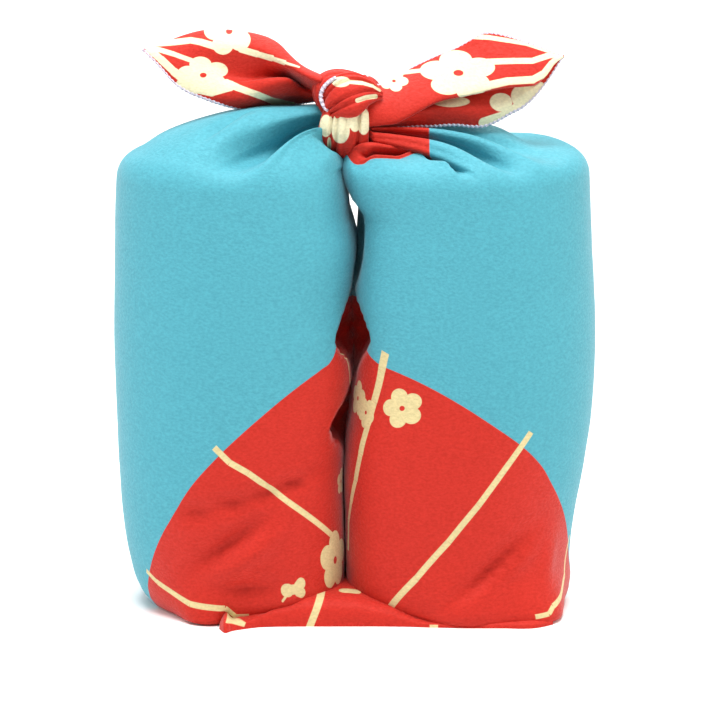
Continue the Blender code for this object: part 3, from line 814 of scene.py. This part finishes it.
cloth = joined("cloth_body", [left_lobe, right_lobe, under_fold])
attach(cloth, "root")
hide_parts("furoshiki_cloth")

# --- The knot ----------------------------------------------------------------------------------
# Both gathered strands are tied in one flat knot: a pleated band comes down over its front, a loop
# arches over it from the left tail to the right one, and a band closes it behind.

Turn = namedtuple("Turn", "x y z breadth thick")
KNOT_MIDDLE = (-1.5, -8.0, 209.0)
LOWER_BAND = table(
    Turn,
    (-3.1, -14, 215.5, 8, 3.5), (-3.5, -19, 211.8, 9.2, 4.6), (-3.8, -21, 208, 9.9, 4.8),
    (-4.3, -21.2, 203.4, 10.4, 5), (-4.9, -18.8, 198.2, 10.6, 4.8),
    (-5.6, -14, 193.2, 8.6, 4.2), (-6, -7, 189.5, 7, 4),
)
UPPER_BAND = table(
    Turn,
    (-9.4, -12, 206.8, 5, 2), (-11.9, -13.5, 211.8, 6.5, 2.2), (-13.2, -14, 216, 7.2, 2.3),
    (-13.4, -14, 219.2, 7.4, 2.3), (-12.3, -13.6, 221.7, 7.4, 2.3),
    (-9.9, -13, 223.3, 7.2, 2.2), (-6.4, -12.4, 223.7, 7.2, 2.2), (-2.3, -12, 222.9, 7, 2.2),
    (1.7, -12, 221.5, 6.8, 2.1), (5.2, -12.5, 219.9, 6.2, 1.9), (8.1, -13.5, 218, 5, 1.6),
    (10, -13.5, 215.1, 3.6, 1.3),
)
INNER_BAND = table(
    Turn,
    (-11.3, -18, 209, 2.4, 1.8), (-9.1, -20, 212.2, 6, 3.6), (-6.3, -21.2, 215.3, 9, 4.8),
    (-2.7, -21.4, 217.6, 10, 5.4), (1.3, -20.8, 218.7, 9, 5.2), (5, -19.6, 218.7, 6.6, 4.2),
    (8.3, -18, 217.7, 3.8, 2.8), (11.1, -16.5, 216.6, 1.6, 1.5),
)
BACK_BAND = table(
    Turn,
    (-1, -6, 219.5, 7.5, 3.5), (1, 2, 218.5, 9, 4.5), (2.5, 8, 213.5, 9.8, 5),
    (3, 9.5, 205.5, 10, 5), (2.5, 6.5, 197.5, 9, 5), (0, -2, 193, 7, 4),
)

# Pleats that run along a band: share is the place across it from -1 to 1, and sway moves it aside
Pleat = namedtuple("Pleat", "share width rise sway")
LOWER_PLEATS = table(
    Pleat,
    (-0.6, 0.07, -2.8, 0.03), (0.22, 0.06, -2.4, 0.05), (0.5, 0.06, -2.6, 0.05),
    (-0.16, 0.05, -0.8, 0.04),
)
UPPER_PLEATS = table(
    Pleat,
    (-0.52, 0.1, -0.8, 0.1), (0.05, 0.1, -0.9, 0.08), (0.5, 0.09, -0.7, -0.08),
)
INNER_PLEATS = table(
    Pleat,
    (-0.4, 0.07, -2.2, 0.1), (0.02, 0.06, -2.4, 0.22), (0.48, 0.08, -1.8, -0.12),
    (-0.72, 0.06, -1.2, 0.06),
)


SWAY_ALONG, SWAY_APART = 3.0, 5  # how fast the sway's sine runs along, and from pleat to pleat
PLEAT_FADE = 0.3  # pleats keep nearly their full depth out to a band's edges


def band_grid(rows, pleats, along=90, around=72):
    """An oval section carried along a curve, its outer side pressed by the pleats: each is a bell
    across the band that sways as a sine along it."""
    v = np.linspace(0, len(rows) - 1, along)
    here = through(np.arange(len(rows)), rows, v)
    path, breadth, thick = here[:, :3], here[:, 3], here[:, 4]
    forward = unit(np.gradient(path, axis=0))
    outward = path - np.array(KNOT_MIDDLE)
    outward = unit(outward - forward * (outward * forward).sum(-1, keepdims=True))
    sideways = np.cross(forward, outward)
    a = np.linspace(-math.pi / 2, 1.5 * math.pi, around)
    share = np.cos(a)
    rise = np.zeros((along, around))
    s = v[:, None] / (len(rows) - 1)
    for p in pleats:
        off = share[None] - p.share - p.sway * np.sin(SWAY_ALONG * s + p.share * SWAY_APART)
        rise += p.rise * np.exp(-((off / p.width) ** 2))
    rise *= np.clip(np.sin(a), 0, 1)[None] ** PLEAT_FADE
    swell = thick[:, None] * np.sin(a)[None] + rise
    points = (
        path[:, None]
        + sideways[:, None] * (breadth[:, None] * share[None])[..., None]
        + outward[:, None] * swell[..., None]
    )
    return points, seen_place(points, np.sin(a)[None])


# A print that is laid out as it is seen from the front, a little from above: x is the distance to
# the right and z the height on a plane that leans back.
LEAN = 0.203
Spot = namedtuple("Spot", "x z wide tall")
LOWER_BAND_SPOTS = table(
    Spot,
    (-11.6, 200.6, 2.6, 4.6), (-5.6, 198.6, 3.7, 5.3), (0.2, 201.8, 2.3, 3.8),
    (3.8, 202.3, 2.7, 5.5), (-10.3, 193.2, 0.8, 2.8), (-3.4, 202.4, 8.8, 3),
)
INNER_BAND_SPOTS = table(Spot, (-5.4, 218.8, 3.8, 2.3))
INNER_BAND_RIBS = (
    rib_line((-2.7, 218.8, 1.8), (3.1, 218.3, 1.5), (7.3, 217.2, 1.2), (10.4, 215.4))
    + rib_line((1.3, 210.9, 1.9), (4.8, 212.2, 1.9), (8.6, 212.8))
)
UPPER_BAND_RIBS = rib_line((-17.1, 219.9, 1), (-14.6, 223.5))


def seen_place(points, layer):
    """Each point's x, its height on the leaning plane, and the layer of the fold that it is on."""
    layer = np.broadcast_to(layer, points.shape[:2])
    return np.stack([points[..., 0], points[..., 2] + LEAN * points[..., 1], layer], axis=-1)


def spot(across, up, place):
    """An ellipse."""
    return ink(distance((across - place.x) / place.wide, (up - place.z) / place.tall) - 1.0, 0.08)


def marked(across, up, spots, ribs):
    """Red with cream spots and ribs."""
    marks = [spot(across, up, place) for place in spots] + strokes(across, up, ribs, True)
    # The cream of these spots and ribs is the copy painted paler, as if lit from above
    return mix(any_of(marks), RED, CREAM_PAINTED_LIT) if marks else RED


def seen_print(spots=(), ribs=(), blooms=(), under_from=9.0, under_spots=(), under_ribs=()):
    """A print with spots, ribs and blossoms; past the layer under_from it has its own marks."""
    def paint(place):
        across, up, layer = split(place)
        # The blossoms here also take the cream painted paler, as if lit from above
        colour = flowered(marked(across, up, spots, ribs), across, up, blooms, CREAM_PAINTED_LIT)
        if under_spots or under_ribs:
            under = marked(across, up, under_spots, under_ribs)
            colour = mix(ink(under_from - layer, 0.05), colour, under)
        return colour
    return paint


def band(name, rows, pleats, **marks):
    """A band of the knot, with its print."""
    points, place = band_grid(rows, pleats)
    thing = cloth_mesh(name, points, place)
    thing.data.materials.append(crepe_material("crepe_" + name, seen_print(**marks)))
    return thing


knot = [
    band("knot_lower_band", LOWER_BAND, LOWER_PLEATS, spots=LOWER_BAND_SPOTS),
    band("knot_upper_band", UPPER_BAND, UPPER_PLEATS, ribs=UPPER_BAND_RIBS),
    band(
        "knot_inner_band", INNER_BAND, INNER_PLEATS, spots=INNER_BAND_SPOTS, ribs=INNER_BAND_RIBS
    ),
    band("knot_back_band", BACK_BAND, LOWER_PLEATS),
]
for piece in knot:
    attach(piece, "root")

# --- The tails ---------------------------------------------------------------------------------
# The two corners of the cloth stand out from the knot, folded once along their length. They show
# the overlocked hem that runs all round the square.

Leaf = namedtuple("Leaf", "x y1 z1 y2 z2 y3 z3 y4 z4 y5 z5 y6 z6")
RIGHT_TAIL = table(
    Leaf,
    (2.3, -11, 221.6, -17, 214, -20, 205.3, -15, 204.7, -16, 204, -11, 202.2),
    (6.5, -9, 220.4, -19, 214, -21, 205.5, -14.3, 204.5, -16, 204.2, -10.3, 202.2),
    (11.5, -6, 219.8, -18, 213.4, -20.8, 205.9, -12.9, 204.8, -15.6, 204.6, -9.8, 202.4),
    (16.9, -1, 222.6, -14.5, 215.2, -19.4, 206.5, -10.8, 205.6, -14.9, 205.3, -9.5, 202.7),
    (22.3, 2.1, 224.7, -11.8, 217.9, -17.9, 208.8, -8.7, 208, -13.8, 207.2, -9.5, 202.7),
    (27.3, 3.5, 227, -10.2, 220.1, -16.7, 211.3, -7.5, 210.6, -13, 209.4, -9.5, 202.7),
    (33.1, 4.4, 229.6, -8.9, 222.5, -15.4, 214.1, -6.6, 213.3, -12.1, 210.3, -9.5, 202.7),
    (38.1, 5, 231.6, -7.7, 224.5, -14.3, 215.5, -5.9, 214.8, -11.3, 210.7, -9.4, 203),
    (43.1, 4.9, 233.8, -6.6, 225.9, -13.4, 216.3, -5.4, 215.4, -10.7, 210.2, -8.9, 202.9),
    (48.1, 4.8, 236.8, -5.5, 227.4, -12.5, 217.2, -5, 216.3, -10, 209.7, -8.5, 202.3),
    (53.1, 4.7, 239.5, -5.1, 228.2, -11.9, 218.2, -4.6, 217.4, -8.8, 209.1, -7.5, 202.3),
    (58.1, 4.6, 239.5, -4.7, 228.9, -11.3, 219.2, -4.2, 218.3, -7.5, 209.7, -6.5, 204),
    (64, 4.2, 238.1, -4.1, 229.1, -10.2, 219.9, -3.6, 218.8, -5.6, 212.1, -5.3, 207.1),
    (69.8, 3.8, 236.3, -3.4, 228.8, -8.8, 220.1, -2.9, 219, -3.9, 215.1, -3.9, 210),
    (74.8, 3.2, 234.6, -2.6, 228.8, -7, 220.9, -2.1, 219.7, -2.5, 218.2, -2.6, 214.5),
    (79, 2.6, 233.1, -1.6, 229.5, -4.5, 224.3, -1.2, 223.3, -1.4, 222.3, -1.5, 219.6),
    (82.3, 1.8, 231.7, -0.8, 230, -2, 228.2, -0.5, 227.6, -0.6, 227, -0.7, 224.4),
    (84.8, 1, 230.6, -0.3, 230.2, -0.9, 229.8, -0.1, 229.5, 0, 229.2, 0, 228.3),
    (86.3, 0.5, 229.9, 0, 230.3, -0.3, 230.6, 0.2, 230.4, 0.3, 230.3, 0.4, 230.2),
)
LEFT_TAIL = table(
    Leaf,
    (-13.5, -9, 223.8, -15, 222.1, -6, 216.4, -6, 214.3, -5, 213.6, -2, 212.1),
    (-16, -8, 224.7, -15, 223, -4, 216.9, -4, 214.3, -3, 213.7, 0, 211.7),
    (-19, -5.7, 225.7, -13.9, 224.2, -0.6, 217.6, -2.3, 215.4, -1.3, 213.8, 3.4, 210.7),
    (-22.3, -3.1, 227.3, -12.4, 225.7, 2.2, 218.7, -2.7, 217.4, -0.9, 214.3, 6.6, 209.7),
    (-26.3, 0, 230.3, -10, 227.9, 3, 220.6, -9, 221.7, -4, 215.6, 9, 209.1),
    (-30.6, 2.7, 234.4, -8.2, 230.4, 0.3, 221.8, -10.8, 222.6, -7.7, 216.5, 7.9, 209),
    (-35.2, 5.3, 236.8, -6.5, 232.9, -1.5, 222.2, -10.6, 222.2, -9.2, 216.3, 5.8, 209.2),
    (-40.2, 6.8, 238.1, -4.8, 234.6, -2.5, 221.9, -9.7, 221.1, -9.5, 214.9, 1.1, 208.2),
    (-46, 8, 239, -3, 235.4, -3, 222.2, -8.5, 219.7, -9.5, 214.2, -4.2, 209),
    (-51.5, 8, 239.7, -2.3, 235.7, -3.2, 223.9, -7.8, 219.3, -9, 214.3, -6.6, 210.3),
    (-57.3, 8, 239.9, -1.5, 235.9, -3.5, 227, -7, 220.5, -8.5, 215.7, -8, 212.3),
    (-63.1, 7.1, 239.6, -0.6, 235.7, -3.1, 228.5, -6.1, 222.3, -7.4, 217.5, -7.1, 214.3),
    (-68.5, 6.3, 238.4, 0.2, 235, -2.7, 229.7, -5.3, 224.1, -6.4, 219.8, -6.3, 216.4),
    (-74.4, 5, 236.6, 0.5, 234, -2.2, 230.8, -4.2, 227.2, -5, 223.8, -5.2, 220.3),
    (-79.4, 3.7, 234.9, 0.5, 233.4, -1.7, 231.9, -3.1, 230.1, -3.7, 227.9, -4.1, 225.8),
    (-83.1, 2.5, 233.7, 0.5, 233.3, -1.1, 232.7, -1.9, 231.8, -2.4, 230.8, -2.9, 229.5),
    (-85.6, 1.6, 232.9, 0.6, 233.1, -0.3, 233.2, -0.8, 232.9, -1.2, 232.5, -1.8, 231.7),
    (-87.3, 1, 232.4, 0.6, 232.9, 0.2, 233.3, -0.1, 233.2, -0.4, 233.2, -1, 233.3),
)
LEFT_TAIL_RIBS = (
    rib_line(
        (-85.2, 235.2, 2.6), (-81, 235.6, 2.7), (-74.2, 236.1, 2.7), (-67.2, 236.9, 2.7),
        (-63.1, 236.1, 2.8), (-57.3, 234.3),
    )
    + rib_line(
        (-46.5, 233.1, 2.6), (-39.9, 231.2, 2.2), (-33.8, 229.4, 1.5), (-28.6, 227.4, 0.7),
        (-22.8, 225.1),
    )
    + rib_line((-84.4, 233.7, 2.2), (-80.2, 232.8, 2.1), (-74.4, 231.1, 2), (-66.9, 228.4))
    + rib_line((-84.4, 233.1, 2.7), (-79.4, 228.8, 3), (-74, 223.7, 3.3), (-67.7, 218.6))
    + rib_line((-71, 218.6, 4.4), (-58.5, 215.6, 4.2), (-51, 217.6))
    + rib_line(
        (-52.7, 219, 2.8), (-48, 216.9, 2.7), (-44, 215.5, 2.6), (-38.9, 213.9, 2.5),
        (-34, 212.2, 2.4), (-25.6, 210.8),
    )
)
LEFT_TAIL_BLOOMS = table(
    Bloom, (-62.1, 222.2, 10.8, 0.74, 0.5), (-51.6, 240.7, 10.4, 0.98, 0.54)
)
RIGHT_TAIL_RIBS = (
    rib_line((19.8, 223.3, 1.8), (27.3, 224.1, 1.9), (36.5, 225.6))
    + rib_line(
        (54.8, 227.7, 2.6), (65.6, 228.1, 2.5), (73.1, 228.2, 2.5), (79.4, 230.3, 2.4),
        (84.8, 231.4),
    )
    + rib_line(
        (47.3, 238.7, 2.1), (55.2, 238.2, 2), (63, 236.9, 1.8), (70.6, 235.6, 1.7),
        (80.6, 232.2),
    )
    + rib_line(
        (43.5, 214.8, 3.3), (55.2, 217.8, 3.1), (62.7, 219.5, 3), (73.1, 220.3, 2.8),
        (77.7, 222.9, 2.6), (81, 227.1, 2.5), (84.8, 230.5),
    )
    + rib_line((38.1, 234.1, 2), (48.5, 239.6))
)
RIGHT_TAIL_BLOOMS = table(Bloom, (42.7, 222.9, 15.8, 0.63, 0.42), (16.3, 219.6, 6, 0.78, -0.07))
UNDER_TAIL_RIBS = (
    rib_line(
        (53.1, 202.5, 4.3), (60.6, 205, 4.1), (66.9, 208.9, 3.9), (73.1, 213.9, 3.7),
        (76.5, 217.8),
    )
)
UNDER_TAIL_SPOTS = table(
    Spot,
    (39.4, 211, 7.9, 2.3), (60.2, 211, 4.6, 3.8), (70.2, 213.5, 5.8, 5.5),
)


CLOTH_THICK = 0.8 * MM
REAR_APART = 1.5  # how far the turned-back cloth lies behind the front


def tail_grid(rows, turned=0.0, along=150, across=110):
    """Sections carried along x, each a smooth curve through its six places from hem to hem. Where
    the upper edge is a fold, the cloth goes on behind it for turned, a share of its width."""
    given = np.array(rows)
    order = 1 if given[-1, 0] > given[0, 0] else -1
    u = np.linspace(0, 1, along)
    x = given[0, 0] + (given[-1, 0] - given[0, 0]) * u
    section = through(order * given[:, 0], given[:, 1:], order * x).reshape(along, 6, 2)
    v = np.linspace(0, 5, across)
    if turned:
        rear = section[:, :1] + (section[:, -1:] - section[:, :1]) * np.array([0.0, turned])
        rear[..., 0] = section[..., 0].max(axis=1, keepdims=True) + REAR_APART
        section = np.concatenate([rear, section], axis=1)
        v = np.linspace(-1, 5, across)
    shape = np.moveaxis(through(np.arange(v[0], 6.0), np.moveaxis(section, 1, 0), v), 0, 1)
    width = np.broadcast_to(x[:, None, None], (along, across, 1))
    points = np.concatenate([width, shape], axis=-1)
    return points, seen_place(points, v[None])


THREAD_DARK, THREAD_PALE = (0.50, 0.44, 0.56, 1.0), (0.74, 0.69, 0.77, 1.0)
THREAD_FUZZ = 1400.0  # how many changes between its two colours to the metre
STITCH_PITCH, STITCH_REACH, STITCH_OUT = 1.9, 1.25, 0.55
THREAD_WIDE, THREAD_HIGH = 0.60, 0.17  # half of the flat thread's width and thickness
THREAD_ROUND = 0.6 * STITCH_REACH  # a stitch is carried round a line so far inside the edge
CORD_STEP, CORD_IN, CORD_OUT = 0.6, 0.85, 0.9  # the cord lies within the stitches by these shares
# A stitch's way from one face round the edge to the other: how far inside the edge, how far out
# from the cloth, and how far it leans along the hem
STITCH = (
    (STITCH_REACH, 0.2, 0.5),
    (0.7 * STITCH_REACH, STITCH_OUT, 0.35),
    (0.2 * STITCH_REACH, STITCH_OUT, 0.15),
    (-0.35, 0.0, 0.0),
    (0.2 * STITCH_REACH, -STITCH_OUT, -0.15),
    (0.7 * STITCH_REACH, -STITCH_OUT, -0.35),
    (STITCH_REACH, -0.2, -0.5),
)

thread = bpy.data.materials.new("hem_thread")
thread.use_nodes = True
thread_place = added(thread.node_tree, "TexCoord").output("Object")
fuzz = added(thread.node_tree, "TexNoise", {"Vector": thread_place, "Scale": THREAD_FUZZ})
thread_inputs = thread.node_tree.nodes["Principled BSDF"].inputs
give(thread_inputs["Base Color"], mix(fuzz, THREAD_DARK, THREAD_PALE))
give(thread_inputs["Roughness"], 0.7)


def read_at(run, values, at):
    """Vectors along a run, read at distances between theirs."""
    return np.stack([np.interp(at, run, values[:, k]) for k in range(3)], axis=-1)


def overlock(name, edge, inward, normal):
    """A hem: flat threads carried round the edge one by one, over a thin cord along it."""
    run = np.concatenate([[0], np.cumsum(np.linalg.norm(np.diff(edge, axis=0), axis=-1))])
    at = np.arange(STITCH_PITCH / 2, run[-1], STITCH_PITCH)
    middles, alongs = [], []
    for inside, out, lean in STITCH:
        here = at + lean
        middles.append(
            read_at(run, edge, here) + read_at(run, inward, here) * inside
            + read_at(run, normal, here) * out
        )
        alongs.append(unit(read_at(run, edge, here + 0.5) - read_at(run, edge, here - 0.5)))
    middles, alongs = np.stack(middles, axis=1), np.stack(alongs, axis=1)
    centre = read_at(run, edge, at) + read_at(run, inward, at) * THREAD_ROUND
    wide, high = alongs * THREAD_WIDE, unit(middles - centre[:, None]) * THREAD_HIGH
    corners = np.stack([middles - wide, middles + high, middles + wide, middles - high], axis=2)
    count, rows = corners.shape[:2]
    n, i, j = np.meshgrid(np.arange(count), np.arange(rows - 1), np.arange(4), indexing="ij")
    first = (n * rows + i) * 4
    k = (j + 1) % 4
    sides = np.stack([first + j, first + k, first + 4 + k, first + 4 + j], -1).reshape(-1, 4)
    first = np.arange(count)[:, None] * rows * 4
    caps = [first + np.array([3, 2, 1, 0]), first + (rows - 1) * 4 + np.arange(4)]
    at = np.arange(0.0, run[-1], CORD_STEP)
    cord = np.stack([
        read_at(run, edge + inward * inside * CORD_IN + normal * out * CORD_OUT, at)
        for inside, out, _ in STITCH
    ], axis=1)
    strip = corners.size // 3 + grid_faces(len(at), rows)
    points = np.concatenate([corners.reshape(-1, 3), cord.reshape(-1, 3)])
    thing = mesh_object(name, points, np.concatenate([sides, *caps, strip]))
    thing.data.materials.append(thread)
    return thing


def tail(name, rows, turned=0.0, **marks):
    """A tail of the cloth with its print, and the hems along its upper and lower edge."""
    points, place = tail_grid(rows, turned)
    thing = cloth_mesh(name, points, place)
    thing.data.materials.append(crepe_material("crepe_" + name, seen_print(**marks)))
    thin = thing.modifiers.new("cloth_thickness", "SOLIDIFY")
    thin.thickness = CLOTH_THICK
    thin.offset = 0.0
    normal = normals_of(points)
    hems = []
    for label, column, inner in (("upper", 0, 3), ("lower", -1, -4)):
        edge = points[:, column]
        hem = f"{name}_{label}_hem"
        hems.append(overlock(hem, edge, unit(points[:, inner] - edge), normal[:, column]))
    return [thing] + hems


left_tail = tail("left_tail", LEFT_TAIL, turned=0.45, ribs=LEFT_TAIL_RIBS, blooms=LEFT_TAIL_BLOOMS)
right_tail = tail(
    "right_tail", RIGHT_TAIL, ribs=RIGHT_TAIL_RIBS, blooms=RIGHT_TAIL_BLOOMS,
    under_from=2.6, under_spots=UNDER_TAIL_SPOTS, under_ribs=UNDER_TAIL_RIBS,
)

# The loop's hem, which shows on the front of the knot
KNOT_HEM = (
    (-10.3, -22.0, 211.4), (-12.2, -21.6, 213.6), (-13.2, -21.3, 216.2), (-12.9, -21.0, 218.9),
    (-11.6, -20.8, 221.2), (-9.7, -20.6, 222.9), (-7.6, -20.4, 224.1),
)
hem_path = through(np.arange(len(KNOT_HEM)), KNOT_HEM, np.linspace(0, len(KNOT_HEM) - 1, 60))
hem_along = unit(np.gradient(hem_path, axis=0))
hem_out = np.broadcast_to(np.array([0.0, -1.0, 0.0]), hem_path.shape)
knot_hem = overlock("knot_hem", hem_path, -np.cross(hem_along, hem_out), hem_out)

knot.append(knot_hem)
tails = left_tail + right_tail
for piece in [knot_hem] + tails:
    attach(piece, "root")

# --- Floor, light and camera -------------------------------------------------------------------
# A plain white floor that runs on out of sight, soft light from all round, and the camera in
# front and a little above, with a long lens.

FLOOR_SIDE = 4.0
WORLD_LIGHT = 0.385

floor_mesh = bpy.data.meshes.new("floor")
corners = [(x * FLOOR_SIDE, y * FLOOR_SIDE, 0) for x, y in ((-1, -1), (1, -1), (1, 1), (-1, 1))]
floor_mesh.from_pydata(corners, [], [(0, 1, 2, 3)])
floor_material = bpy.data.materials.new("white_floor")
floor_material.use_nodes = True
floor_inputs = floor_material.node_tree.nodes["Principled BSDF"].inputs
floor_inputs["Base Color"].default_value = (0.95, 0.95, 0.95, 1.0)
floor_inputs["Roughness"].default_value = 0.9
floor_mesh.materials.append(floor_material)
linked("floor", floor_mesh)

world = bpy.data.worlds.new("white_room")
world.use_nodes = True
world_inputs = world.node_tree.nodes["Background"].inputs
world_inputs["Color"].default_value = (1.0, 1.0, 1.0, 1.0)
world_inputs["Strength"].default_value = WORLD_LIGHT
bpy.context.scene.world = world


def softbox(name, place, aim, size, power, colour=(1.0, 1.0, 1.0)):
    """A square area light at a place, turned towards its aim."""
    light = bpy.data.lights.new(name, "AREA")
    light.shape = "SQUARE"
    light.size = size
    light.energy = power
    light.color = colour
    thing = linked(name, light)
    thing.location = place
    away = np.array(place) - np.array(aim)
    across = math.hypot(away[0], away[1])
    thing.rotation_euler = (math.atan2(across, away[2]), 0.0, math.atan2(away[0], -away[1]))


softbox("key_light", (-1.4, -0.35, 0.9), (0, 0, 0.1), 0.6, 8.0)
softbox("fill_light", (1.4, -0.35, 0.9), (0, 0, 0.1), 0.7, 9.0, (1.0, 0.96, 0.88))
softbox("top_light", (0.0, -0.40, 1.55), (0, 0, 0.1), 0.9, 33.0)
softbox("floor_light", (0.0, 2.2, 2.2), (0, 2.5, 0), 2.5, 80.0)

ELEVATION, DISTANCE = math.radians(12.0), 2.2
LENS, SENSOR = 264.0, 36.0
AIM = (0.0023, 0.005, 0.1026)
camera_data = bpy.data.cameras.new("camera")
camera_data.lens, camera_data.sensor_width = LENS, SENSOR
camera = linked("camera", camera_data)
back, up = DISTANCE * math.cos(ELEVATION), DISTANCE * math.sin(ELEVATION)
camera.location = (AIM[0], AIM[1] - back, AIM[2] + up)
camera.rotation_euler = (math.pi / 2 - ELEVATION, 0.0, 0.0)
bpy.context.scene.camera = camera
bpy.context.scene.view_settings.view_transform = "Standard"

bpy.context.view_layer.update()
